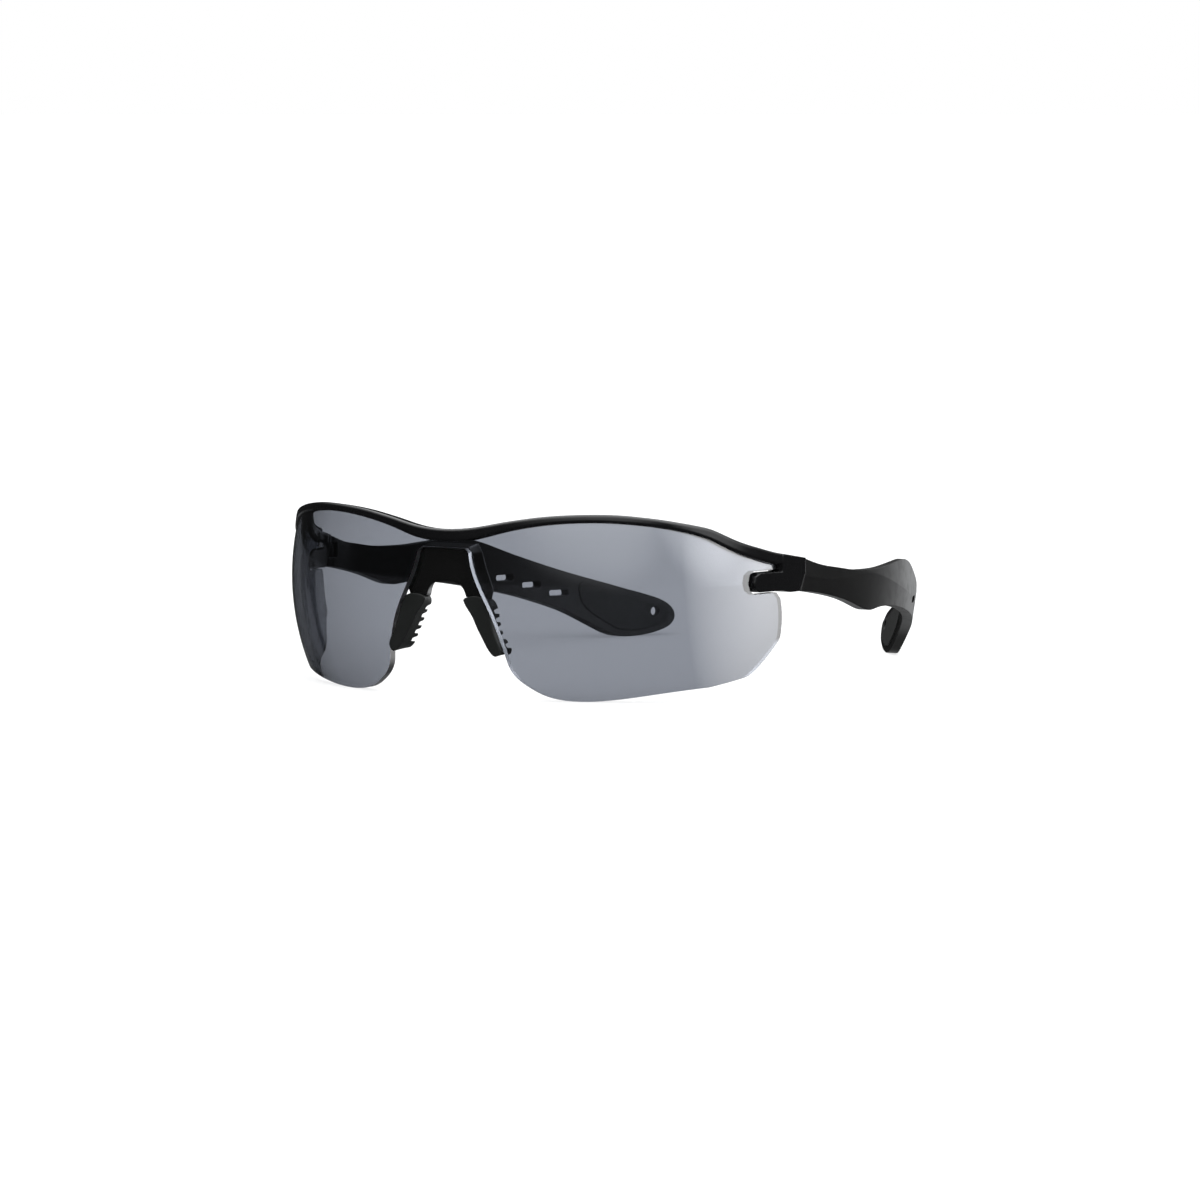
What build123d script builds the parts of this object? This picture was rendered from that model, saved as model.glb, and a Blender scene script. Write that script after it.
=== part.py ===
from build123d import *
from math import radians, degrees, sin, cos, asin, sqrt
import os

os.makedirs("parts", exist_ok=True)

# Frame of reference: +X to the wearer's left, +Y back towards the temple tips, +Z up.
# Z = 0 is the table the glasses stand on, X = 0 the symmetry plane.
FRONT_Y = -85.07         # where the foremost point of the lens lies, so that Y = 0 is mid-depth

# ---- lens shield ----
FRONT_RADIUS = 95.0      # plan radius of the middle of the shield
SIDE_RADIUS = 48.0       # tighter plan radius of the wrapped sides
BLEND_ANGLE = 24.6       # plan angle where one radius hands over to the other
WRAP_ANGLE = 90.0
HEIGHT_RADIUS = 62.0     # curvature from top to bottom
EQUATOR_Z = 25.5
LENS_THICK = 2.2
LENS_FIT = 0.1           # gap left round the lens where it sits in the frame

# ---- brow bar ----
BROW_CORNER = 0.7
BROW_LEAN = 0.5          # share of the lens slope that the section of the bar takes up
GROOVE_DEPTH = 1.1       # how far the lens edge sits in the bar

# ---- hinge ----
PIN_X = 68.6
PIN_Y = 55.8
PIN_R = 0.8
HEAD_R = 1.35
HEAD_Z = 31.7            # underside of the screw head
RUNNING_FIT = 0.05
TONGUE_R = 1.7
TONGUE_Z = (27.6, 31.0)
TONGUE_ROOT = 50.8
FORK_GAP = 0.2
FORK_R = 2.1

# ---- temple ----
LEAN_Z = 18.0            # height about which the sections of the tip lean
FACET_SLOPE = 0.13       # how fast the outer face falls away above its crease
SLOT_LENGTH = 5.6
SLOT_HEIGHT = 1.7
CORD_HOLE_R = 1.25
GRIP_DEPTH = 0.7
GRIP_PROUD = 0.4
GRIP_FIT = 0.03
GRIP_Y = 158.0           # middle of the grip
GRIP_Z = 8.0

# ---- nose piece ----
SADDLE_FRONT = 2.6
SADDLE_BACK = 7.4
PAD_FRONT = 1.5
PAD_BACK = 8.8
TEETH = 5
TOOTH_PITCH = 2.0
TOOTH_Z = 21.3
TOOTH_DEPTH = 2.6
CARRIER_Y = 3.6
CARRIER_WIDTH = 1.8
CARRIER_THICK = 1.5
CARRIER_TILT = 21.0
CARRIER_FIT = 0.04

SIDE_CX = (FRONT_RADIUS - SIDE_RADIUS) * sin(radians(BLEND_ANGLE))
SIDE_CY = FRONT_RADIUS - (FRONT_RADIUS - SIDE_RADIUS) * cos(radians(BLEND_ANGLE))


def plan(z):
    return Plane(origin=(0, FRONT_Y, z), x_dir=(1, 0, 0), z_dir=(0, 0, 1))


def front(y):
    return Plane(origin=(0, FRONT_Y + y, 0), x_dir=(1, 0, 0), z_dir=(0, -1, 0))


def side(x):
    return Plane(origin=(x, FRONT_Y, 0), x_dir=(0, 1, 0), z_dir=(1, 0, 0))


def lens_point(angle, z, proud):
    """Plan position of the outer lens surface at height z, moved outwards by proud."""
    sag = HEIGHT_RADIUS - sqrt(HEIGHT_RADIUS**2 - (z - EQUATOR_Z) ** 2)
    a = radians(angle)
    if angle <= BLEND_ANGLE:
        r = FRONT_RADIUS - sag + proud
        return r * sin(a), FRONT_RADIUS - r * cos(a)
    r = SIDE_RADIUS - sag + proud
    return SIDE_CX + r * sin(a), SIDE_CY - r * cos(a)


def section_strip(radius, outer, inner):
    """Vertical section of the shield: the strip between two concentric arcs."""
    with BuildSketch(Plane.XY) as strip:
        with Locations((radius - HEIGHT_RADIUS, 0)):
            Circle(HEIGHT_RADIUS + outer)
            Circle(HEIGHT_RADIUS - inner, mode=Mode.SUBTRACT)
        with Locations((radius, 0)):
            Rectangle(30, 64, mode=Mode.INTERSECT)
    return strip.sketch


def shell(outer, inner):
    """Toric shell of the shield between two offsets from its outer surface."""
    a = radians(BLEND_ANGLE)
    middle = Plane(
        origin=(0, FRONT_Y + FRONT_RADIUS, EQUATOR_Z), x_dir=(sin(a), -cos(a), 0), z_dir=(-cos(a), -sin(a), 0)
    )
    flank = Plane(
        origin=(SIDE_CX, FRONT_Y + SIDE_CY, EQUATOR_Z),
        x_dir=(sin(a), -cos(a), 0),
        z_dir=(-cos(a), -sin(a), 0),
    )
    with BuildPart() as left:
        add(flank * section_strip(SIDE_RADIUS, outer, inner))
        revolve(axis=Axis(flank.origin, (0, 0, 1)), revolution_arc=WRAP_ANGLE - BLEND_ANGLE)
    with BuildPart() as whole:
        add(middle * section_strip(FRONT_RADIUS, outer, inner))
        revolve(axis=Axis(middle.origin, (0, 0, -1)), revolution_arc=2 * BLEND_ANGLE)
        add(left.part)
        mirror(left.part, about=Plane.YZ)
    return whole.part


# ---------------------------------------------------------------- lens
# plan angle on the shield, bottom and top of the brow bar, how far it stands proud, its thickness
brow_stations = [
    (0.0, 38.2, 41.3, 0.8, 4.3),
    (5.0, 38.9, 41.9, 0.7, 4.2),
    (9.5, 40.8, 43.3, 0.6, 4.1),
    (12.4, 41.8, 44.1, 0.6, 4.0),
    (15.5, 42.6, 44.8, 0.6, 3.9),
    (19.2, 43.2, 45.3, 0.6, 3.9),
    (24.6, 43.45, 45.55, 0.6, 3.9),
    (30.7, 43.25, 45.4, 0.6, 3.9),
    (36.7, 42.85, 44.95, 0.6, 3.9),
    (43.0, 42.2, 44.3, 0.6, 3.9),
    (48.8, 41.3, 43.5, 0.6, 3.9),
    (54.5, 40.05, 42.6, 0.6, 3.9),
    (58.8, 38.75, 41.7, 0.6, 3.9),
    (62.8, 37.2, 40.3, 0.7, 4.0),
    (68.6, 35.2, 38.3, 0.9, 4.1),
    (75.4, 33.5, 36.6, 1.3, 4.2),
    (82.5, 32.2, 35.1, 1.8, 4.5),
    (88.5, 30.8, 34.2, 2.5, 4.9),
]
nose_edge = [(7.2, 35.6), (8.4, 31.2), (10.7, 26.2), (13.6, 20.2), (15.6, 14.0), (16.8, 8.6)]
lower_edge = [(16.8, 8.6), (18.4, 5.6), (21.2, 3.2), (24.8, 1.2), (29.0, 0.2), (34.0, 0.0), (40.0, 0.5),
              (46.0, 1.4), (54.0, 2.7), (60.0, 3.4), (80.0, 4.0)]


def lens_body(gap):
    """The shield cut to outline. A gap grows it, which gives the cutter for the frame groove."""
    upper_edge = [(80.0, 31.0 + gap)]
    for angle, low, high, proud, thick in reversed(brow_stations[:-1]):
        z = low + GROOVE_DEPTH + gap
        upper_edge.append((lens_point(angle, z, 0)[0], z))
    with BuildPart() as front_outline:
        with BuildSketch(front(60)):
            with BuildLine():
                Polyline((0, 36.6), (6.2, 36.6), (7.2, 35.6))
                Spline(nose_edge)
                Spline(lower_edge)
                Line(lower_edge[-1], upper_edge[0])
                Spline(upper_edge)
                Line(upper_edge[-1], (0, 36.6))
            make_face()
            mirror(about=Plane.YZ)
        extrude(amount=70)

    # seen from the side: rounded lower corner, upright rear edge, notch that takes the frame tab
    with BuildPart() as side_outline:
        with BuildSketch(side(-80)):
            with BuildLine():
                Polyline((-10, -10), (29, -10), (29, 2.9), (39.4, 5.0))
                Spline((39.4, 5.0), (41.5, 6.0), (45.2, 9.5), (48.4, 12.8), (49.4, 15.4),
                       tangents=((1, 0.2), (-0.1, 1)))
                Spline((49.4, 15.4), (48.9, 20.0), (47.9, 23.8), tangents=((-0.05, 1), (-0.3, 1)))
                Polyline((47.9, 23.8), (46.2, 25.4), (38.2, 25.4), (36.8, 26.3), (36.3, 28.2), (36.8, 30.1),
                         (38.2, 31.0 - gap), (46.2 + gap, 31.0 - gap), (45.4 + gap, 34.4), (30.0, 60.0),
                         (-10, 60.0), (-10, -10))
            make_face()
        extrude(amount=160)

    with BuildPart() as body:
        add(shell(gap, LENS_THICK + gap))
        add(front_outline.part, mode=Mode.INTERSECT)
        add(side_outline.part, mode=Mode.INTERSECT)
    return body.part


with BuildPart() as lens:
    add(lens_body(0))

# ---------------------------------------------------------------- brow frame


def brow_section(angle, low, high, proud, thick, hand):
    """Upright section of the bar at one plan angle, leaning back with the shield."""
    mid = (low + high) / 2
    x, y = lens_point(angle, mid, proud)
    a = radians(angle)
    lean = BROW_LEAN * asin((mid - EQUATOR_Z) / HEIGHT_RADIUS)
    plane = Plane(
        origin=(hand * x, FRONT_Y + y, mid),
        x_dir=(hand * sin(a), -cos(a), 0),
        z_dir=(-cos(a), -hand * sin(a), 0),
    )
    with BuildSketch(Plane.XY) as profile:
        with Locations((-thick / 2 * cos(lean), -thick / 2 * sin(lean))):
            RectangleRounded(thick, high - low, BROW_CORNER, rotation=degrees(lean))
    return plane * profile.sketch


# end piece in plan, from the tab in the lens notch back to the hinge seam
end_outer = [(65.3, 35.6), (67.0, 41.0), (68.6, 46.5), (70.4, 50.5), (71.2, 54.5)]
end_inner = [(62.0, 36.6), (63.5, 41.6), (64.6, 46.6), (65.4, 50.5), (65.9, 54.5)]

with BuildPart() as end_piece:
    with BuildSketch(plan(20)):
        with BuildLine():
            Spline(end_outer)
            Line(end_outer[-1], end_inner[-1])
            Spline(list(reversed(end_inner)))
            Line(end_inner[0], end_outer[0])
        make_face()
    extrude(amount=20)
    with BuildSketch(side(50)):
        with BuildLine():
            Polyline((46.6, 25.9), (39.2, 25.9), (37.8, 26.6), (37.3, 28.2), (37.8, 29.8), (39.2, 30.5),
                     (46.6, 30.5), (46.9, 34.8))
            Spline((46.9, 34.8), (50.4, 34.1), (53.6, 33.5))
            Polyline((53.6, 33.5), (53.6, 29.9), (52.9, 29.3), (51.1, 25.5), (48.8, 25.4), (46.6, 25.9))
        make_face()
    extrude(amount=30, mode=Mode.INTERSECT)
    # hinge tongue
    with BuildSketch(plan(TONGUE_Z[0])):
        with Locations((PIN_X, PIN_Y)):
            Circle(TONGUE_R)
        with Locations((PIN_X, (PIN_Y + TONGUE_ROOT) / 2)):
            Rectangle(2 * TONGUE_R, PIN_Y - TONGUE_ROOT)
    extrude(amount=TONGUE_Z[1] - TONGUE_Z[0])
    with BuildSketch(plan(TONGUE_Z[0] - 1)):
        with Locations((PIN_X, PIN_Y)):
            Circle(PIN_R + RUNNING_FIT)
    extrude(amount=10, mode=Mode.SUBTRACT)

with BuildPart() as brow_frame:
    for station in reversed(brow_stations[1:]):
        add(brow_section(*station, -1))
    for station in brow_stations:
        add(brow_section(*station, 1))
    loft()
    add(end_piece.part)
    mirror(end_piece.part, about=Plane.YZ)
    add(lens_body(LENS_FIT), mode=Mode.SUBTRACT)

# ---------------------------------------------------------------- temples
# plan position, turn from straight back, half thickness outside and inside, lean
temple_stations = [
    (69.9, 48.0, 0.0, 1.3, 3.3, 0.0),
    (70.0, 58.0, 0.0, 1.3, 3.2, 0.0),
    (70.2, 67.0, 0.0, 1.3, 1.6, 0.0),
    (70.2, 76.0, 1.0, 1.3, 1.3, 0.0),
    (69.8, 86.0, 4.2, 1.3, 1.3, 0.0),
    (68.6, 97.0, 8.6, 1.3, 1.3, 0.03),
    (66.6, 108.0, 13.2, 1.3, 1.3, 0.07),
    (63.7, 119.0, 17.8, 1.3, 1.3, 0.10),
    (59.7, 130.0, 23.0, 1.3, 1.3, 0.12),
    (54.8, 140.3, 28.6, 1.3, 1.3, 0.15),
    (48.8, 150.6, 32.5, 1.2, 1.2, 0.185),
    (42.2, 160.6, 35.0, 1.15, 1.15, 0.21),
    (32.8, 173.6, 36.5, 1.1, 1.1, 0.22),
]
# height of the crease on the outer face at each of those stations
crease = [29.6, 28.4, 27.3, 27.2, 27.5, 25.6, 22.6, 19.6, 17.5, 18.0, 17.0, 15.0, 14.0]
upper_edge_temple = [(53.75, 33.4), (59.5, 31.8), (64.4, 30.8), (70.0, 30.0), (76.0, 29.1), (82.0, 28.5),
                     (88.0, 28.2), (94.5, 28.1), (101.5, 28.4), (108.0, 28.7), (113.5, 28.7), (117.5, 28.1),
                     (121.5, 27.0), (126.0, 25.3), (131.0, 23.3), (137.0, 21.0), (143.5, 18.5), (154.5, 14.5),
                     (160.5, 12.3), (164.5, 10.8)]
tip_edge_temple = [(164.5, 10.8), (167.7, 9.2), (169.5, 7.0), (169.6, 4.8), (168.3, 2.9), (166.0, 1.6)]
lower_edge_temple = [(166.0, 1.6), (162.8, 0.6), (159.4, 0.1), (156.4, 0.0), (154.0, 0.5), (151.8, 1.8),
                     (148.6, 4.1), (143.5, 7.4), (137.2, 10.1), (130.6, 12.3), (123.4, 14.1), (116.0, 15.7)]
belly_edge_temple = [(116.0, 15.7), (108.0, 17.1), (101.0, 18.0), (94.0, 18.4), (90.0, 18.2), (87.0, 18.1),
                     (84.0, 18.6), (79.0, 20.1), (72.8, 21.9), (66.5, 23.3), (60.0, 24.5), (51.2, 25.6)]


def temple_plan(z, slope, deeper):
    """Plan strip of the temple at height z. A slope turns the outer face about its crease."""
    outer = []
    inner = []
    for (x, y, turn, out, back, lean), fold in zip(temple_stations, crease):
        a = radians(turn)
        shift = lean * (z - LEAN_Z)
        face = shift + out + slope * (fold - z)
        outer.append((x + face * cos(a), y + face * sin(a)))
        inner.append((x + (shift - back - deeper) * cos(a), y + (shift - back - deeper) * sin(a)))
    with BuildSketch(plan(z)) as strip:
        with BuildLine():
            Spline(outer)
            Line(outer[-1], inner[-1])
            Spline(list(reversed(inner)))
            Line(inner[0], outer[0])
        make_face()
    return strip.sketch


def temple_plane(y, z, roll):
    """Plane on the temple mid-surface at a depth y, facing outwards, rolled along the arm."""
    for near, far in zip(temple_stations, temple_stations[1:]):
        if near[1] <= y <= far[1]:
            t = (y - near[1]) / (far[1] - near[1])
            x, turn, lean = (near[i] + t * (far[i] - near[i]) for i in (0, 2, 5))
    a = radians(turn)
    x += lean * (z - LEAN_Z) / cos(a)
    return Plane(origin=(x, FRONT_Y + y, z), x_dir=(-sin(a), cos(a), 0), z_dir=(cos(a), sin(a), 0)).rotated(
        (0, 0, roll)
    )


slots = [temple_plane(127.6, 17.2, -16), temple_plane(135.2, 14.9, -17), temple_plane(142.4, 12.4, -19)]
cord_hole = temple_plane(165.6, 6.4, 0)


def fork_cut():
    """Everything taken off the front of the temple so that it can turn on the frame tongue."""
    low = TONGUE_Z[0] - FORK_GAP
    high = TONGUE_Z[1] + FORK_GAP
    with BuildPart() as cut:
        # slot for the tongue, closed on the outside by a thin skin
        with BuildSketch(plan(low)):
            with Locations((PIN_X - 4.0, PIN_Y - 2.0)):
                Rectangle(2 * (4.0 + TONGUE_R + FORK_GAP), 2 * (2.0 + TONGUE_R + 2 * FORK_GAP))
        extrude(amount=high - low)
        # the inner front corner is rounded about the pin
        with BuildSketch(plan(20)):
            with Locations((PIN_X - 4.0, PIN_Y - 4.0)):
                Rectangle(8.0, 8.0)
            with Locations((PIN_X, PIN_Y)):
                Circle(FORK_R, mode=Mode.SUBTRACT)
        extrude(amount=20)
        # screw bore and seat for the head
        with BuildSketch(plan(20)):
            with Locations((PIN_X, PIN_Y)):
                Circle(PIN_R + RUNNING_FIT)
        extrude(amount=20)
        with BuildSketch(plan(HEAD_Z)):
            with Locations((PIN_X, PIN_Y)):
                Circle(HEAD_R + RUNNING_FIT)
        extrude(amount=5)
    return cut.part


grip_edge = [(149.0, 14.8), (153.5, 13.2), (159.0, 11.0), (164.3, 8.7), (168.3, 6.4), (167.4, 4.2),
             (163.2, 2.4), (158.0, 1.6), (154.8, 2.3), (152.0, 4.4), (148.9, 7.4), (147.3, 11.2)]


def grip_body(gap):
    """Soft inlay in the inner face of the tip. A gap grows it into the cutter for its recess."""
    grow = 1 + gap / 6
    with BuildPart() as body:
        for z in (-2, 38):
            outer = []
            inner = []
            for x, y, turn, out, back, lean in temple_stations:
                a = radians(turn)
                shift = lean * (z - LEAN_Z)
                deep = shift - back + GRIP_DEPTH + gap
                proud = shift - back - GRIP_PROUD - 4 * gap
                outer.append((x + deep * cos(a), y + deep * sin(a)))
                inner.append((x + proud * cos(a), y + proud * sin(a)))
            with BuildSketch(plan(z)):
                with BuildLine():
                    Spline(outer)
                    Line(outer[-1], inner[-1])
                    Spline(list(reversed(inner)))
                    Line(inner[0], outer[0])
                make_face()
        loft(ruled=True)
        with BuildSketch(side(0)):
            with BuildLine():
                Spline([(GRIP_Y + (y - GRIP_Y) * grow, GRIP_Z + (z - GRIP_Z) * grow) for y, z in grip_edge],
                       periodic=True)
            make_face()
        extrude(amount=90, mode=Mode.INTERSECT)
    return body.part


with BuildPart() as upper_facet:
    add(temple_plan(-2, FACET_SLOPE, 4))
    add(temple_plan(38, FACET_SLOPE, 4))
    loft(ruled=True)

with BuildPart() as temple_left:
    add(temple_plan(-2, 0, 0))
    add(temple_plan(38, 0, 0))
    loft(ruled=True)
    add(upper_facet.part, mode=Mode.INTERSECT)
    with BuildSketch(side(0)):
        with BuildLine():
            Spline(upper_edge_temple, tangents=((1, -0.3), (2.4, -1)))
            Spline(tip_edge_temple, tangents=((2.4, -1), (-2.6, -1)))
            Spline(lower_edge_temple, tangents=((-2.6, -1), (-4.8, 1)))
            Spline(belly_edge_temple)
            Polyline((51.2, 25.6), (53.05, 29.25), (53.75, 29.85), (53.75, 33.4))
        make_face()
    extrude(amount=90, mode=Mode.INTERSECT)
    add(fork_cut(), mode=Mode.SUBTRACT)
    for slot in slots:
        with BuildSketch(slot):
            RectangleRounded(SLOT_LENGTH, SLOT_HEIGHT, 0.65)
        extrude(amount=5, both=True, mode=Mode.SUBTRACT)
    with BuildSketch(cord_hole):
        Circle(CORD_HOLE_R)
    extrude(amount=5, both=True, mode=Mode.SUBTRACT)
    add(grip_body(GRIP_FIT), mode=Mode.SUBTRACT)

with BuildPart() as temple_right:
    mirror(temple_left.part, about=Plane.YZ)

with BuildPart() as temple_grip_left:
    add(grip_body(0))
    with BuildSketch(cord_hole):
        Circle(CORD_HOLE_R)
    extrude(amount=8, both=True, mode=Mode.SUBTRACT)

with BuildPart() as temple_grip_right:
    mirror(temple_grip_left.part, about=Plane.YZ)

# ---------------------------------------------------------------- hinge screws
with BuildPart() as hinge_screw_left:
    with BuildSketch(plan(25.4)):
        with Locations((PIN_X, PIN_Y)):
            Circle(PIN_R)
    extrude(amount=HEAD_Z + 0.3 - 25.4)
    with BuildSketch(plan(HEAD_Z)):
        with Locations((PIN_X, PIN_Y)):
            Circle(HEAD_R)
    extrude(amount=0.55)
    with BuildSketch(plan(HEAD_Z + 0.25)):
        with Locations((PIN_X, PIN_Y)):
            Rectangle(2.2, 0.4)
            Rectangle(0.4, 2.2)
    extrude(amount=1, mode=Mode.SUBTRACT)

with BuildPart() as hinge_screw_right:
    mirror(hinge_screw_left.part, about=Plane.YZ)

# ---------------------------------------------------------------- nose piece
saddle_front = [(0, 36.5), (6.2, 36.5), (7.3, 35.4), (8.6, 31.0), (10.7, 26.2), (10.2, 24.8),
                (5.7, 24.8), (4.9, 26.6), (3.2, 28.0), (0, 28.4)]
saddle_back = [(0, 37.4), (6.6, 37.4), (7.8, 35.4), (9.2, 31.0), (11.0, 26.4), (10.4, 24.2),
               (7.4, 24.2), (6.6, 26.8), (4.2, 28.8), (0, 29.5)]


def saddle_face(points, y):
    with BuildSketch(front(y)) as face:
        with BuildLine():
            Polyline(points[:6])
            Line(points[5], points[6])
            Spline(points[6:], tangents=((-0.5, 1), (-1, 0)))
            Line(points[-1], points[0])
        make_face()
        mirror(about=Plane.YZ)
    return face.sketch


pad_front = [(5.7, 24.2), (8.0, 24.72), (10.6, 24.4), (13.1, 19.8), (14.9, 14.8), (15.7, 12.2), (14.6, 10.8),
             (12.7, 12.0), (11.0, 14.6), (9.0, 18.0), (7.1, 21.3)]
pad_back = [(8.2, 23.5), (9.1, 24.0), (10.2, 23.6), (12.1, 18.4), (13.9, 14.4), (15.2, 12.1), (14.7, 11.1),
            (13.4, 11.6), (11.9, 14.1), (10.2, 17.8), (9.0, 20.6)]


def carrier(gap):
    """Stiff tongue of the nose bridge that the soft pad is pushed onto."""
    with BuildPart() as tongue:
        with BuildSketch(front(CARRIER_Y - gap)):
            with Locations((10.0, 20.9)):
                Rectangle(CARRIER_WIDTH + 2 * gap, 10.0 + 2 * gap, rotation=CARRIER_TILT)
        extrude(amount=-CARRIER_THICK - 2 * gap)
    return tongue.part


with BuildPart() as nose_pad_left:
    for y, outline in ((PAD_FRONT, pad_front), (PAD_BACK, pad_back)):
        with BuildSketch(front(y)):
            with BuildLine():
                Spline(outline, periodic=True)
            make_face()
    loft(ruled=True)
    # teeth along the rear edge
    with BuildSketch(side(0)):
        for i in range(TEETH):
            with Locations((PAD_BACK + 0.2, TOOTH_Z - i * TOOTH_PITCH)):
                Polygon((0.5, -0.7), (0.5, 0.7), (-TOOTH_DEPTH, 0.35), (-TOOTH_DEPTH, -0.35), align=None)
    extrude(amount=30, mode=Mode.SUBTRACT)
    add(carrier(CARRIER_FIT), mode=Mode.SUBTRACT)

with BuildPart() as nose_pad_right:
    mirror(nose_pad_left.part, about=Plane.YZ)

with BuildPart() as nose_bridge:
    add(saddle_face(saddle_front, SADDLE_FRONT))
    add(saddle_face(saddle_back, SADDLE_BACK))
    loft(ruled=True)
    add(carrier(0))
    mirror(carrier(0), about=Plane.YZ)
    add(lens_body(LENS_FIT), mode=Mode.SUBTRACT)
    add(brow_frame.part, mode=Mode.SUBTRACT)

# ---------------------------------------------------------------- pieces
lens.part.label = "lens"
brow_frame.part.label = "brow_frame"
nose_bridge.part.label = "nose_bridge"
nose_pad_left.part.label = "nose_pad_left"
nose_pad_right.part.label = "nose_pad_right"
temple_left.part.label = "temple_left"
temple_right.part.label = "temple_right"
temple_grip_left.part.label = "temple_grip_left"
temple_grip_right.part.label = "temple_grip_right"
hinge_screw_left.part.label = "hinge_screw_left"
hinge_screw_right.part.label = "hinge_screw_right"

export_step(lens.part, "parts/lens.step")
export_step(brow_frame.part, "parts/brow_frame.step")
export_step(nose_bridge.part, "parts/nose_bridge.step")
export_step(nose_pad_left.part, "parts/nose_pad_left.step")
export_step(nose_pad_right.part, "parts/nose_pad_right.step")
export_step(temple_left.part, "parts/temple_left.step")
export_step(temple_right.part, "parts/temple_right.step")
export_step(temple_grip_left.part, "parts/temple_grip_left.step")
export_step(temple_grip_right.part, "parts/temple_grip_right.step")
export_step(hinge_screw_left.part, "parts/hinge_screw_left.step")
export_step(hinge_screw_right.part, "parts/hinge_screw_right.step")
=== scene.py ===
import math

import bpy
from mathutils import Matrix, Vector


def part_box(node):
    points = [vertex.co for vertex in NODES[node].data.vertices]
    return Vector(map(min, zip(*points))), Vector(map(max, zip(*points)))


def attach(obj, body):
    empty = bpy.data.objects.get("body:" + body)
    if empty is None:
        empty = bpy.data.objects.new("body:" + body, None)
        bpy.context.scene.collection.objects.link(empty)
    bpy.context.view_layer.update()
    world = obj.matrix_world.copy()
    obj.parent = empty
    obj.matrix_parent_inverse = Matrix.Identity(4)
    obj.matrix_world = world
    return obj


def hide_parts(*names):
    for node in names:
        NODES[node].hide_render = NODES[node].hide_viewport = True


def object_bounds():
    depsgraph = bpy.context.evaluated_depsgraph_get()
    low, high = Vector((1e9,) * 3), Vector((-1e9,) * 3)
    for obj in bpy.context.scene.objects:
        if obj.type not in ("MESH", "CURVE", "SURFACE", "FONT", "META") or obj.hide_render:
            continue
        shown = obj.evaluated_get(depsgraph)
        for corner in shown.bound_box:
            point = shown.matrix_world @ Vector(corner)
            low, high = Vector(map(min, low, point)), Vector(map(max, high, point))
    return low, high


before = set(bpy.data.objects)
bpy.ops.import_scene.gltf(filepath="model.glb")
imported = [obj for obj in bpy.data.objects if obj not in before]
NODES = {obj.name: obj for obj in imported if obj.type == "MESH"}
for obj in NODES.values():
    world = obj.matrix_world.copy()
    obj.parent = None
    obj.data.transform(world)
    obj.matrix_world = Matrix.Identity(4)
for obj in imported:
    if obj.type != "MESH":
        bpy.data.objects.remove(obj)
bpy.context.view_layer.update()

MM = 0.001

# ---------------------------------------------------------------- camera
AZIMUTH = math.radians(31.0)
ELEVATION = math.radians(5.2)
DISTANCE = 1.6
FOCAL_MM = 194.4
SENSOR_MM = 36.0
SHIFT = (0.0618, 0.0031)
AIM_BEHIND_LENS = 39.44 * MM
AIM_HEIGHT = 20 * MM

lens_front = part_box("lens")[0].y
aim = Vector((0, lens_front + AIM_BEHIND_LENS, AIM_HEIGHT))
forward = Vector(
    (
        -math.sin(AZIMUTH) * math.cos(ELEVATION),
        math.cos(AZIMUTH) * math.cos(ELEVATION),
        -math.sin(ELEVATION),
    )
)
camera_data = bpy.data.cameras.new("camera")
camera_data.lens = FOCAL_MM
camera_data.sensor_width = SENSOR_MM
camera_data.shift_x, camera_data.shift_y = SHIFT
camera_data.clip_start = 0.05
camera_data.clip_end = 60
camera = bpy.data.objects.new("camera", camera_data)
bpy.context.scene.collection.objects.link(camera)
camera.location = aim - DISTANCE * forward
camera.rotation_mode = "QUATERNION"
camera.rotation_quaternion = forward.to_track_quat("-Z", "Y")
bpy.context.scene.camera = camera
bpy.context.scene.view_settings.view_transform = "Standard"


# ---------------------------------------------------------------- node helpers
class Graph:
    """A short way to write a node tree: each call adds a node and links what it is given."""

    def __init__(self, tree):
        self.tree = tree

    def node(self, kind, inputs=(), **settings):
        made = self.tree.nodes.new(kind)
        for key, value in settings.items():
            setattr(made, key, value)
        for key, value in dict(inputs).items():
            if isinstance(value, bpy.types.NodeSocket):
                self.tree.links.new(value, made.inputs[key])
            else:
                made.inputs[key].default_value = value
        return made

    def math(self, operation, a, b=0.0, clamp=False):
        made = self.node("ShaderNodeMath", {0: a, 1: b}, operation=operation, use_clamp=clamp)
        return made.outputs[0]

    def ramp(self, value, low, high, out_low=0.0, out_high=1.0):
        made = self.node(
            "ShaderNodeMapRange",
            {"Value": value, "From Min": low, "From Max": high, "To Min": out_low, "To Max": out_high},
            interpolation_type="SMOOTHSTEP",
        )
        return made.outputs[0]

    def mix(self, factor, a, b):
        made = self.node("ShaderNodeMix", data_type="RGBA")
        for key, value in ((0, factor), (6, a), (7, b)):
            if isinstance(value, bpy.types.NodeSocket):
                self.tree.links.new(value, made.inputs[key])
            else:
                made.inputs[key].default_value = value
        return made.outputs[2]

    def noise(self, position, scale, detail=3.0, stretch=None):
        if stretch:
            position = self.node(
                "ShaderNodeMapping", {"Vector": position, "Scale": stretch}
            ).outputs[0]
        made = self.node("ShaderNodeTexNoise", {"Vector": position, "Scale": scale, "Detail": detail})
        return made.outputs[0]


def connect(graph, shader, name, value):
    if isinstance(value, bpy.types.NodeSocket):
        graph.tree.links.new(value, shader.inputs[name])
    else:
        shader.inputs[name].default_value = value


def grey(level, tint=(1, 1, 1)):
    return (level * tint[0], level * tint[1], level * tint[2], 1)


# ---------------------------------------------------------------- studio
def dot(graph, vector, direction):
    made = graph.node("ShaderNodeVectorMath", {0: vector, 1: direction}, operation="DOT_PRODUCT")
    return made.outputs["Value"]


def toward(azimuth, elevation):
    a, e = math.radians(azimuth), math.radians(elevation)
    return (math.sin(a) * math.cos(e), -math.cos(a) * math.cos(e), math.sin(e))


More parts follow.
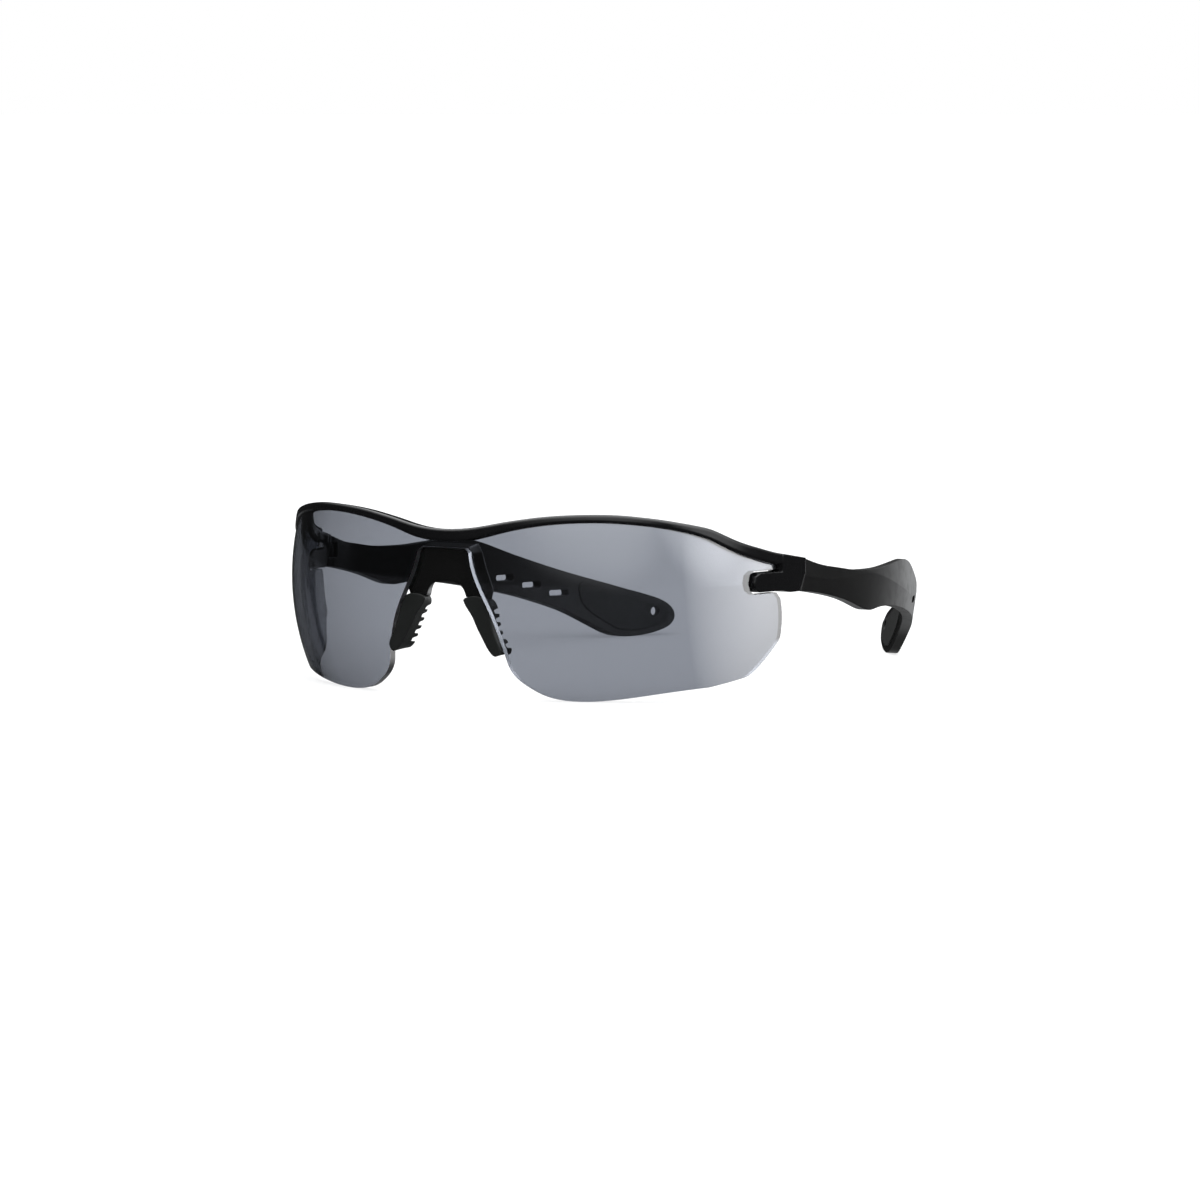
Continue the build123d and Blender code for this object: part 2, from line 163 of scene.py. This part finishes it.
# reflected light of the room: azimuth, elevation, cosine where it starts and is full, strength
LOBES = [
    (15, 10, 0.50, 1.00, 0.05),
    (25, 32, 0.80, 1.00, 1.20),
    (85, 28, 0.86, 0.99, 2.40),
    (100, 4, 0.74, 0.97, 0.05),
    (184, 4, 0.91, 1.00, 1.10),
    (214, -32, 0.88, 0.99, 0.35),
]


def make_world():
    world = bpy.data.worlds.new("studio")
    bpy.context.scene.world = world
    world.use_nodes = True
    world.node_tree.nodes.clear()
    g = Graph(world.node_tree)
    way = g.node("ShaderNodeTexCoord").outputs["Generated"]
    up = dot(g, way, (0, 0, 1))
    level = g.ramp(up, 0.3, 1.0, 0.02, 2.4)
    for azimuth, elevation, start, end, strength in LOBES:
        lobe = g.ramp(dot(g, way, toward(azimuth, elevation)), start, end, 0.0, strength)
        level = g.math("ADD", level, lobe)
    path = g.node("ShaderNodeLightPath").outputs
    straight = g.math("LESS_THAN", path["Glossy Depth"], 0.5)
    beyond_lens = g.math("MULTIPLY", path["Is Transmission Ray"], straight)
    through = g.math("MAXIMUM", path["Is Camera Ray"], beyond_lens)
    shown = g.mix(through, (0, 0, 0, 1), (1, 1, 1, 1))
    lit = g.node("ShaderNodeBackground", {"Color": grey(1.0, (0.97, 0.985, 1.0)), "Strength": level})
    plain = g.node("ShaderNodeBackground", {"Color": grey(1.0), "Strength": 1.0})
    mixed = g.node("ShaderNodeMixShader", {0: shown, 1: lit.outputs[0], 2: plain.outputs[0]})
    g.node("ShaderNodeOutputWorld", {"Surface": mixed.outputs[0]})


FLOOR_RADIUS = 9.0
FLOOR_ALBEDO = 0.25
FLOOR_GLOW = 0.74        # part of the floor's light that no shadow takes away


def make_floor():
    mesh = bpy.data.meshes.new("floor")
    corners = 64
    turns = [math.tau * i / corners for i in range(corners)]
    ring = [(FLOOR_RADIUS * math.cos(t), FLOOR_RADIUS * math.sin(t), 0) for t in turns]
    mesh.from_pydata(ring, [], [tuple(range(corners))])
    floor = bpy.data.objects.new("floor", mesh)
    bpy.context.scene.collection.objects.link(floor)
    floor.location.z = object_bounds()[0].z
    floor.visible_glossy = False
    material = bpy.data.materials.new("floor")
    material.use_nodes = True
    g = Graph(material.node_tree)
    shader = material.node_tree.nodes["Principled BSDF"]
    path = g.node("ShaderNodeLightPath").outputs
    straight = g.math("LESS_THAN", path["Glossy Depth"], 0.5)
    shader.inputs["Base Color"].default_value = grey(FLOOR_ALBEDO)
    shader.inputs["Emission Color"].default_value = grey(1.0)
    connect(g, shader, "Emission Strength", g.math("MULTIPLY", straight, FLOOR_GLOW))
    shader.inputs["Roughness"].default_value = 0.9
    shader.inputs["Specular IOR Level"].default_value = 0.1
    mesh.materials.append(material)


def area_light(name, azimuth, elevation, distance, size, power, target):
    data = bpy.data.lights.new(name, "AREA")
    data.shape = "RECTANGLE"
    data.size, data.size_y = size
    data.energy = power
    light = bpy.data.objects.new(name, data)
    bpy.context.scene.collection.objects.link(light)
    place = Vector(toward(azimuth, elevation)) * distance + target
    light.location = place
    light.rotation_mode = "QUATERNION"
    light.rotation_quaternion = (target - place).to_track_quat("-Z", "Y")
    return light


make_world()
make_floor()
middle = Vector((0, 0, AIM_HEIGHT))
area_light("softbox_top", 200, 82, 1.5, (2.2, 2.0), 22, middle)

# a broad soft card that only the lens picks up, from its outer side
card = area_light("card_side", 122, 4, 1.0, (6.0, 3.6), 132, middle)
card.data.spread = math.radians(110)
card_group = bpy.data.collections.new("lit_by_card")
card_group.objects.link(NODES["lens"])
card.light_linking.receiver_collection = card_group


# ---------------------------------------------------------------- materials
# radii of the shield, used to tell its faces from its cut edge
PLAN_RADIUS = 95.0 * MM
FLANK_RADIUS = 48.0 * MM
HEIGHT_RADIUS = 62.0 * MM
EQUATOR = 25.5 * MM
BLEND = math.radians(24.6)
FLANK_X = (PLAN_RADIUS - FLANK_RADIUS) * math.sin(BLEND)
FLANK_Y = PLAN_RADIUS - (PLAN_RADIUS - FLANK_RADIUS) * math.cos(BLEND)


def new_material(name):
    material = bpy.data.materials.new(name)
    material.use_nodes = True
    graph = Graph(material.node_tree)
    return material, graph, material.node_tree.nodes["Principled BSDF"]


def bump(graph, height, strength, distance, normal=None):
    made = graph.node("ShaderNodeBump", {"Height": height, "Strength": strength, "Distance": distance})
    if normal:
        graph.tree.links.new(normal, made.inputs["Normal"])
    return made.outputs[0]


def rolled_edge(graph, radius):
    """Normals that roll over sharp edges, as on a moulded part."""
    return graph.node("ShaderNodeBevel", {"Radius": radius}, samples=6).outputs[0]


def moulded(name, dark, light, rough, rough_spread, grain, grain_depth, specular, edge, stretch=None):
    """Moulded plastic: flow clouds in the colour, worn patches in the gloss and a fine skin."""
    material, g, shader = new_material(name)
    where = g.node("ShaderNodeTexCoord").outputs["Object"]
    clouds = g.noise(where, 60, 4)
    wear = g.ramp(g.noise(where, 320, 5), 0.42, 0.75)
    skin = g.noise(where, grain, 2, stretch)
    connect(g, shader, "Base Color", g.mix(clouds, dark, light))
    rough_value = g.math("ADD", g.math("MULTIPLY", wear, rough_spread), rough)
    connect(g, shader, "Roughness", rough_value)
    connect(g, shader, "Specular IOR Level", specular)
    connect(g, shader, "Normal", bump(g, skin, 0.25, grain_depth, rolled_edge(g, edge)))
    return material


def shield_normal(g, where):
    """The direction square to the shield at each point, from its two plan radii and its height radius."""
    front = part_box("lens")[0].y
    across = g.node("ShaderNodeSeparateXYZ", {0: where}).outputs
    hand = g.math("SIGN", across["X"])
    x = g.math("ABSOLUTE", across["X"])
    turn = g.math("ARCTAN2", x, g.math("SUBTRACT", front + PLAN_RADIUS, across["Y"]))
    flank = g.math("GREATER_THAN", turn, BLEND)
    centre_x = g.math("MULTIPLY", g.math("MULTIPLY", flank, FLANK_X), hand)
    centre_y = g.math("ADD", g.math("MULTIPLY", flank, FLANK_Y - PLAN_RADIUS), front + PLAN_RADIUS)
    tighter = g.math("MULTIPLY", flank, FLANK_RADIUS - PLAN_RADIUS)
    radius = g.math("ADD", tighter, PLAN_RADIUS - HEIGHT_RADIUS)
    centre = g.node("ShaderNodeCombineXYZ", {0: centre_x, 1: centre_y, 2: across["Z"]}).outputs[0]
    out = g.node("ShaderNodeVectorMath", {0: where, 1: centre}, operation="SUBTRACT").outputs[0]
    out = g.node("ShaderNodeVectorMath", {0: out}, operation="NORMALIZE").outputs[0]
    reach = g.node("ShaderNodeVectorMath", {0: out, 3: radius}, operation="SCALE").outputs[0]
    level = g.node("ShaderNodeCombineXYZ", {0: centre_x, 1: centre_y, 2: EQUATOR}).outputs[0]
    hub = g.node("ShaderNodeVectorMath", {0: level, 1: reach}, operation="ADD").outputs[0]
    ray = g.node("ShaderNodeVectorMath", {0: where, 1: hub}, operation="SUBTRACT").outputs[0]
    return g.node("ShaderNodeVectorMath", {0: ray}, operation="NORMALIZE").outputs[0]


SMOKE_TINT = (0.92, 0.98, 1.12)


def smoke_glass():
    """Grey through its two faces, with painted shade that darkens it where the shield is seen slantwise and
    makes it near-black where it is seen edge-on; pale and slightly frosted on the cut edge between them.
    """
    material, g, shader = new_material("smoked_lens")
    where = g.node("ShaderNodeTexCoord").outputs["Object"]
    surface = g.node("ShaderNodeNewGeometry").outputs
    outward = shield_normal(g, where)
    along = dot(g, outward, surface["True Normal"])
    edge = g.ramp(g.math("ABSOLUTE", along), 0.55, 0.80, 1.0, 0.0)
    hand = g.math("SIGN", along)
    face = g.node("ShaderNodeVectorMath", {0: outward, 3: hand}, operation="SCALE").outputs[0]
    normal = g.mix(edge, face, surface["Normal"])
    facing = g.node("ShaderNodeLayerWeight").outputs["Facing"]
    ripple = g.noise(where, 25, 1)
    haze = g.ramp(g.noise(where, 900, 4), 0.55, 0.8)
    smoke = g.mix(g.noise(where, 18, 2), grey(0.222, SMOKE_TINT), grey(0.245, SMOKE_TINT))
    # painted shade: the smoke colour darkens as the shield turns away from the view and goes near-black
    # where it is seen edge-on, standing in for the longer path through the glass
    painted_slant_shade = g.mix(g.ramp(facing, 0.12, 0.60), smoke, grey(0.095, SMOKE_TINT))
    smoke = g.mix(g.ramp(facing, 0.80, 0.96), painted_slant_shade, grey(0.02))
    connect(g, shader, "Base Color", g.mix(edge, smoke, grey(0.62)))
    connect(g, shader, "Transmission Weight", 1.0)
    connect(g, shader, "IOR", 1.60)
    rough = g.math("MULTIPLY", haze, 0.008)
    connect(g, shader, "Roughness", g.math("ADD", rough, g.math("MULTIPLY", edge, 0.35)))
    connect(g, shader, "Normal", bump(g, ripple, 0.03, 0.0002, normal))
    return material


def steel():
    material, g, shader = new_material("screw_steel")
    where = g.node("ShaderNodeTexCoord").outputs["Object"]
    turned = g.noise(where, 2600, 3, (1, 1, 0.15))
    connect(g, shader, "Base Color", g.mix(turned, grey(0.42), grey(0.6)))
    connect(g, shader, "Metallic", 1.0)
    connect(g, shader, "Roughness", g.ramp(turned, 0.2, 0.8, 0.22, 0.4))
    connect(g, shader, "Normal", bump(g, turned, 0.2, 0.00003))
    return material


def rubber(name, dark, light, specular):
    material, g, shader = new_material(name)
    where = g.node("ShaderNodeTexCoord").outputs["Object"]
    clouds = g.noise(where, 140, 4)
    pores = g.noise(where, 5200, 2)
    dust = g.ramp(g.noise(where, 700, 5), 0.5, 0.8)
    connect(g, shader, "Base Color", g.mix(clouds, dark, light))
    connect(g, shader, "Roughness", g.math("ADD", g.math("MULTIPLY", dust, 0.15), 0.5))
    connect(g, shader, "Specular IOR Level", specular)
    connect(g, shader, "Sheen Weight", 0.02)
    connect(g, shader, "Sheen Roughness", 0.4)
    connect(g, shader, "Normal", bump(g, pores, 0.3, 0.00003))
    return material


frame_plastic = moulded(
    "frame_gloss",
    grey(0.0030, (1, 1, 1.1)),
    grey(0.0050, (1, 1, 1.1)),
    0.10,
    0.08,
    900,
    0.00002,
    0.50,
    0.5 * MM,
)
bridge_plastic = moulded("bridge_gloss", grey(0.0025), grey(0.004), 0.07, 0.06, 700, 0.00002, 0.9, 0.9 * MM)
temple_plastic = moulded(
    "temple_satin", grey(0.0050), grey(0.0070), 0.30, 0.07, 2200, 0.00001, 0.36, 0.4 * MM, (1, 0.2, 1)
)
lens_glass = smoke_glass()
screw_metal = steel()
pad_rubber = rubber("pad_rubber", grey(0.0060, (0.92, 1.04, 0.98)), grey(0.0100, (0.92, 1.04, 0.98)), 0.32)
grip_rubber = rubber("grip_rubber", grey(0.0060, (0.93, 1.03, 1.0)), grey(0.0095, (0.93, 1.03, 1.0)), 0.30)


# ---------------------------------------------------------------- CAD nodes that stay
def finish_node(name, material):
    node = NODES[name]
    node.data.materials.clear()
    node.data.materials.append(material)


finish_node("lens", lens_glass)
finish_node("brow_frame", frame_plastic)
finish_node("nose_bridge", bridge_plastic)
for side in ("left", "right"):
    finish_node("temple_" + side, temple_plastic)
    finish_node("hinge_screw_" + side, screw_metal)


# ---------------------------------------------------------------- soft pieces
def soft_copy(node_name, piece_name, voxel, rounds, material, body):
    """The node's shape as one closed skin with soft, rolled edges."""
    mesh = NODES[node_name].data.copy()
    mesh.materials.clear()
    mesh.materials.append(material)
    piece = bpy.data.objects.new(piece_name, mesh)
    bpy.context.scene.collection.objects.link(piece)
    bpy.context.view_layer.objects.active = piece
    remesh = piece.modifiers.new("skin", "REMESH")
    remesh.mode = "VOXEL"
    remesh.voxel_size = voxel
    smooth = piece.modifiers.new("roll", "SMOOTH")
    smooth.factor = 0.5
    smooth.iterations = rounds
    depsgraph = bpy.context.evaluated_depsgraph_get()
    final = bpy.data.meshes.new_from_object(piece.evaluated_get(depsgraph))
    piece.modifiers.clear()
    piece.data = final
    for polygon in final.polygons:
        polygon.use_smooth = True
    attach(piece, body)
    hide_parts(node_name)
    return piece


# the head of each pad is drawn up until it meets the leg of the bridge
PAD_REACH = 0.5 * MM
PAD_BAND = 3.0 * MM
# how finely the soft skins are made, and how often they are smoothed
PAD_VOXEL = 0.16 * MM
PAD_ROUNDS = 5
GRIP_VOXEL = 0.12 * MM
GRIP_ROUNDS = 3

for side in ("left", "right"):
    pad = soft_copy(
        "nose_pad_" + side,
        "nose_pad_rubber_" + side,
        PAD_VOXEL,
        PAD_ROUNDS,
        pad_rubber,
        "frame_front",
    )
    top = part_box("nose_pad_" + side)[1].z
    for vertex in pad.data.vertices:
        vertex.co.z += PAD_REACH * max(0.0, 1 - (top - vertex.co.z) / PAD_BAND)
    grip = soft_copy(
        "temple_grip_" + side,
        "temple_grip_rubber_" + side,
        GRIP_VOXEL,
        GRIP_ROUNDS,
        grip_rubber,
        side + "_temple",
    )
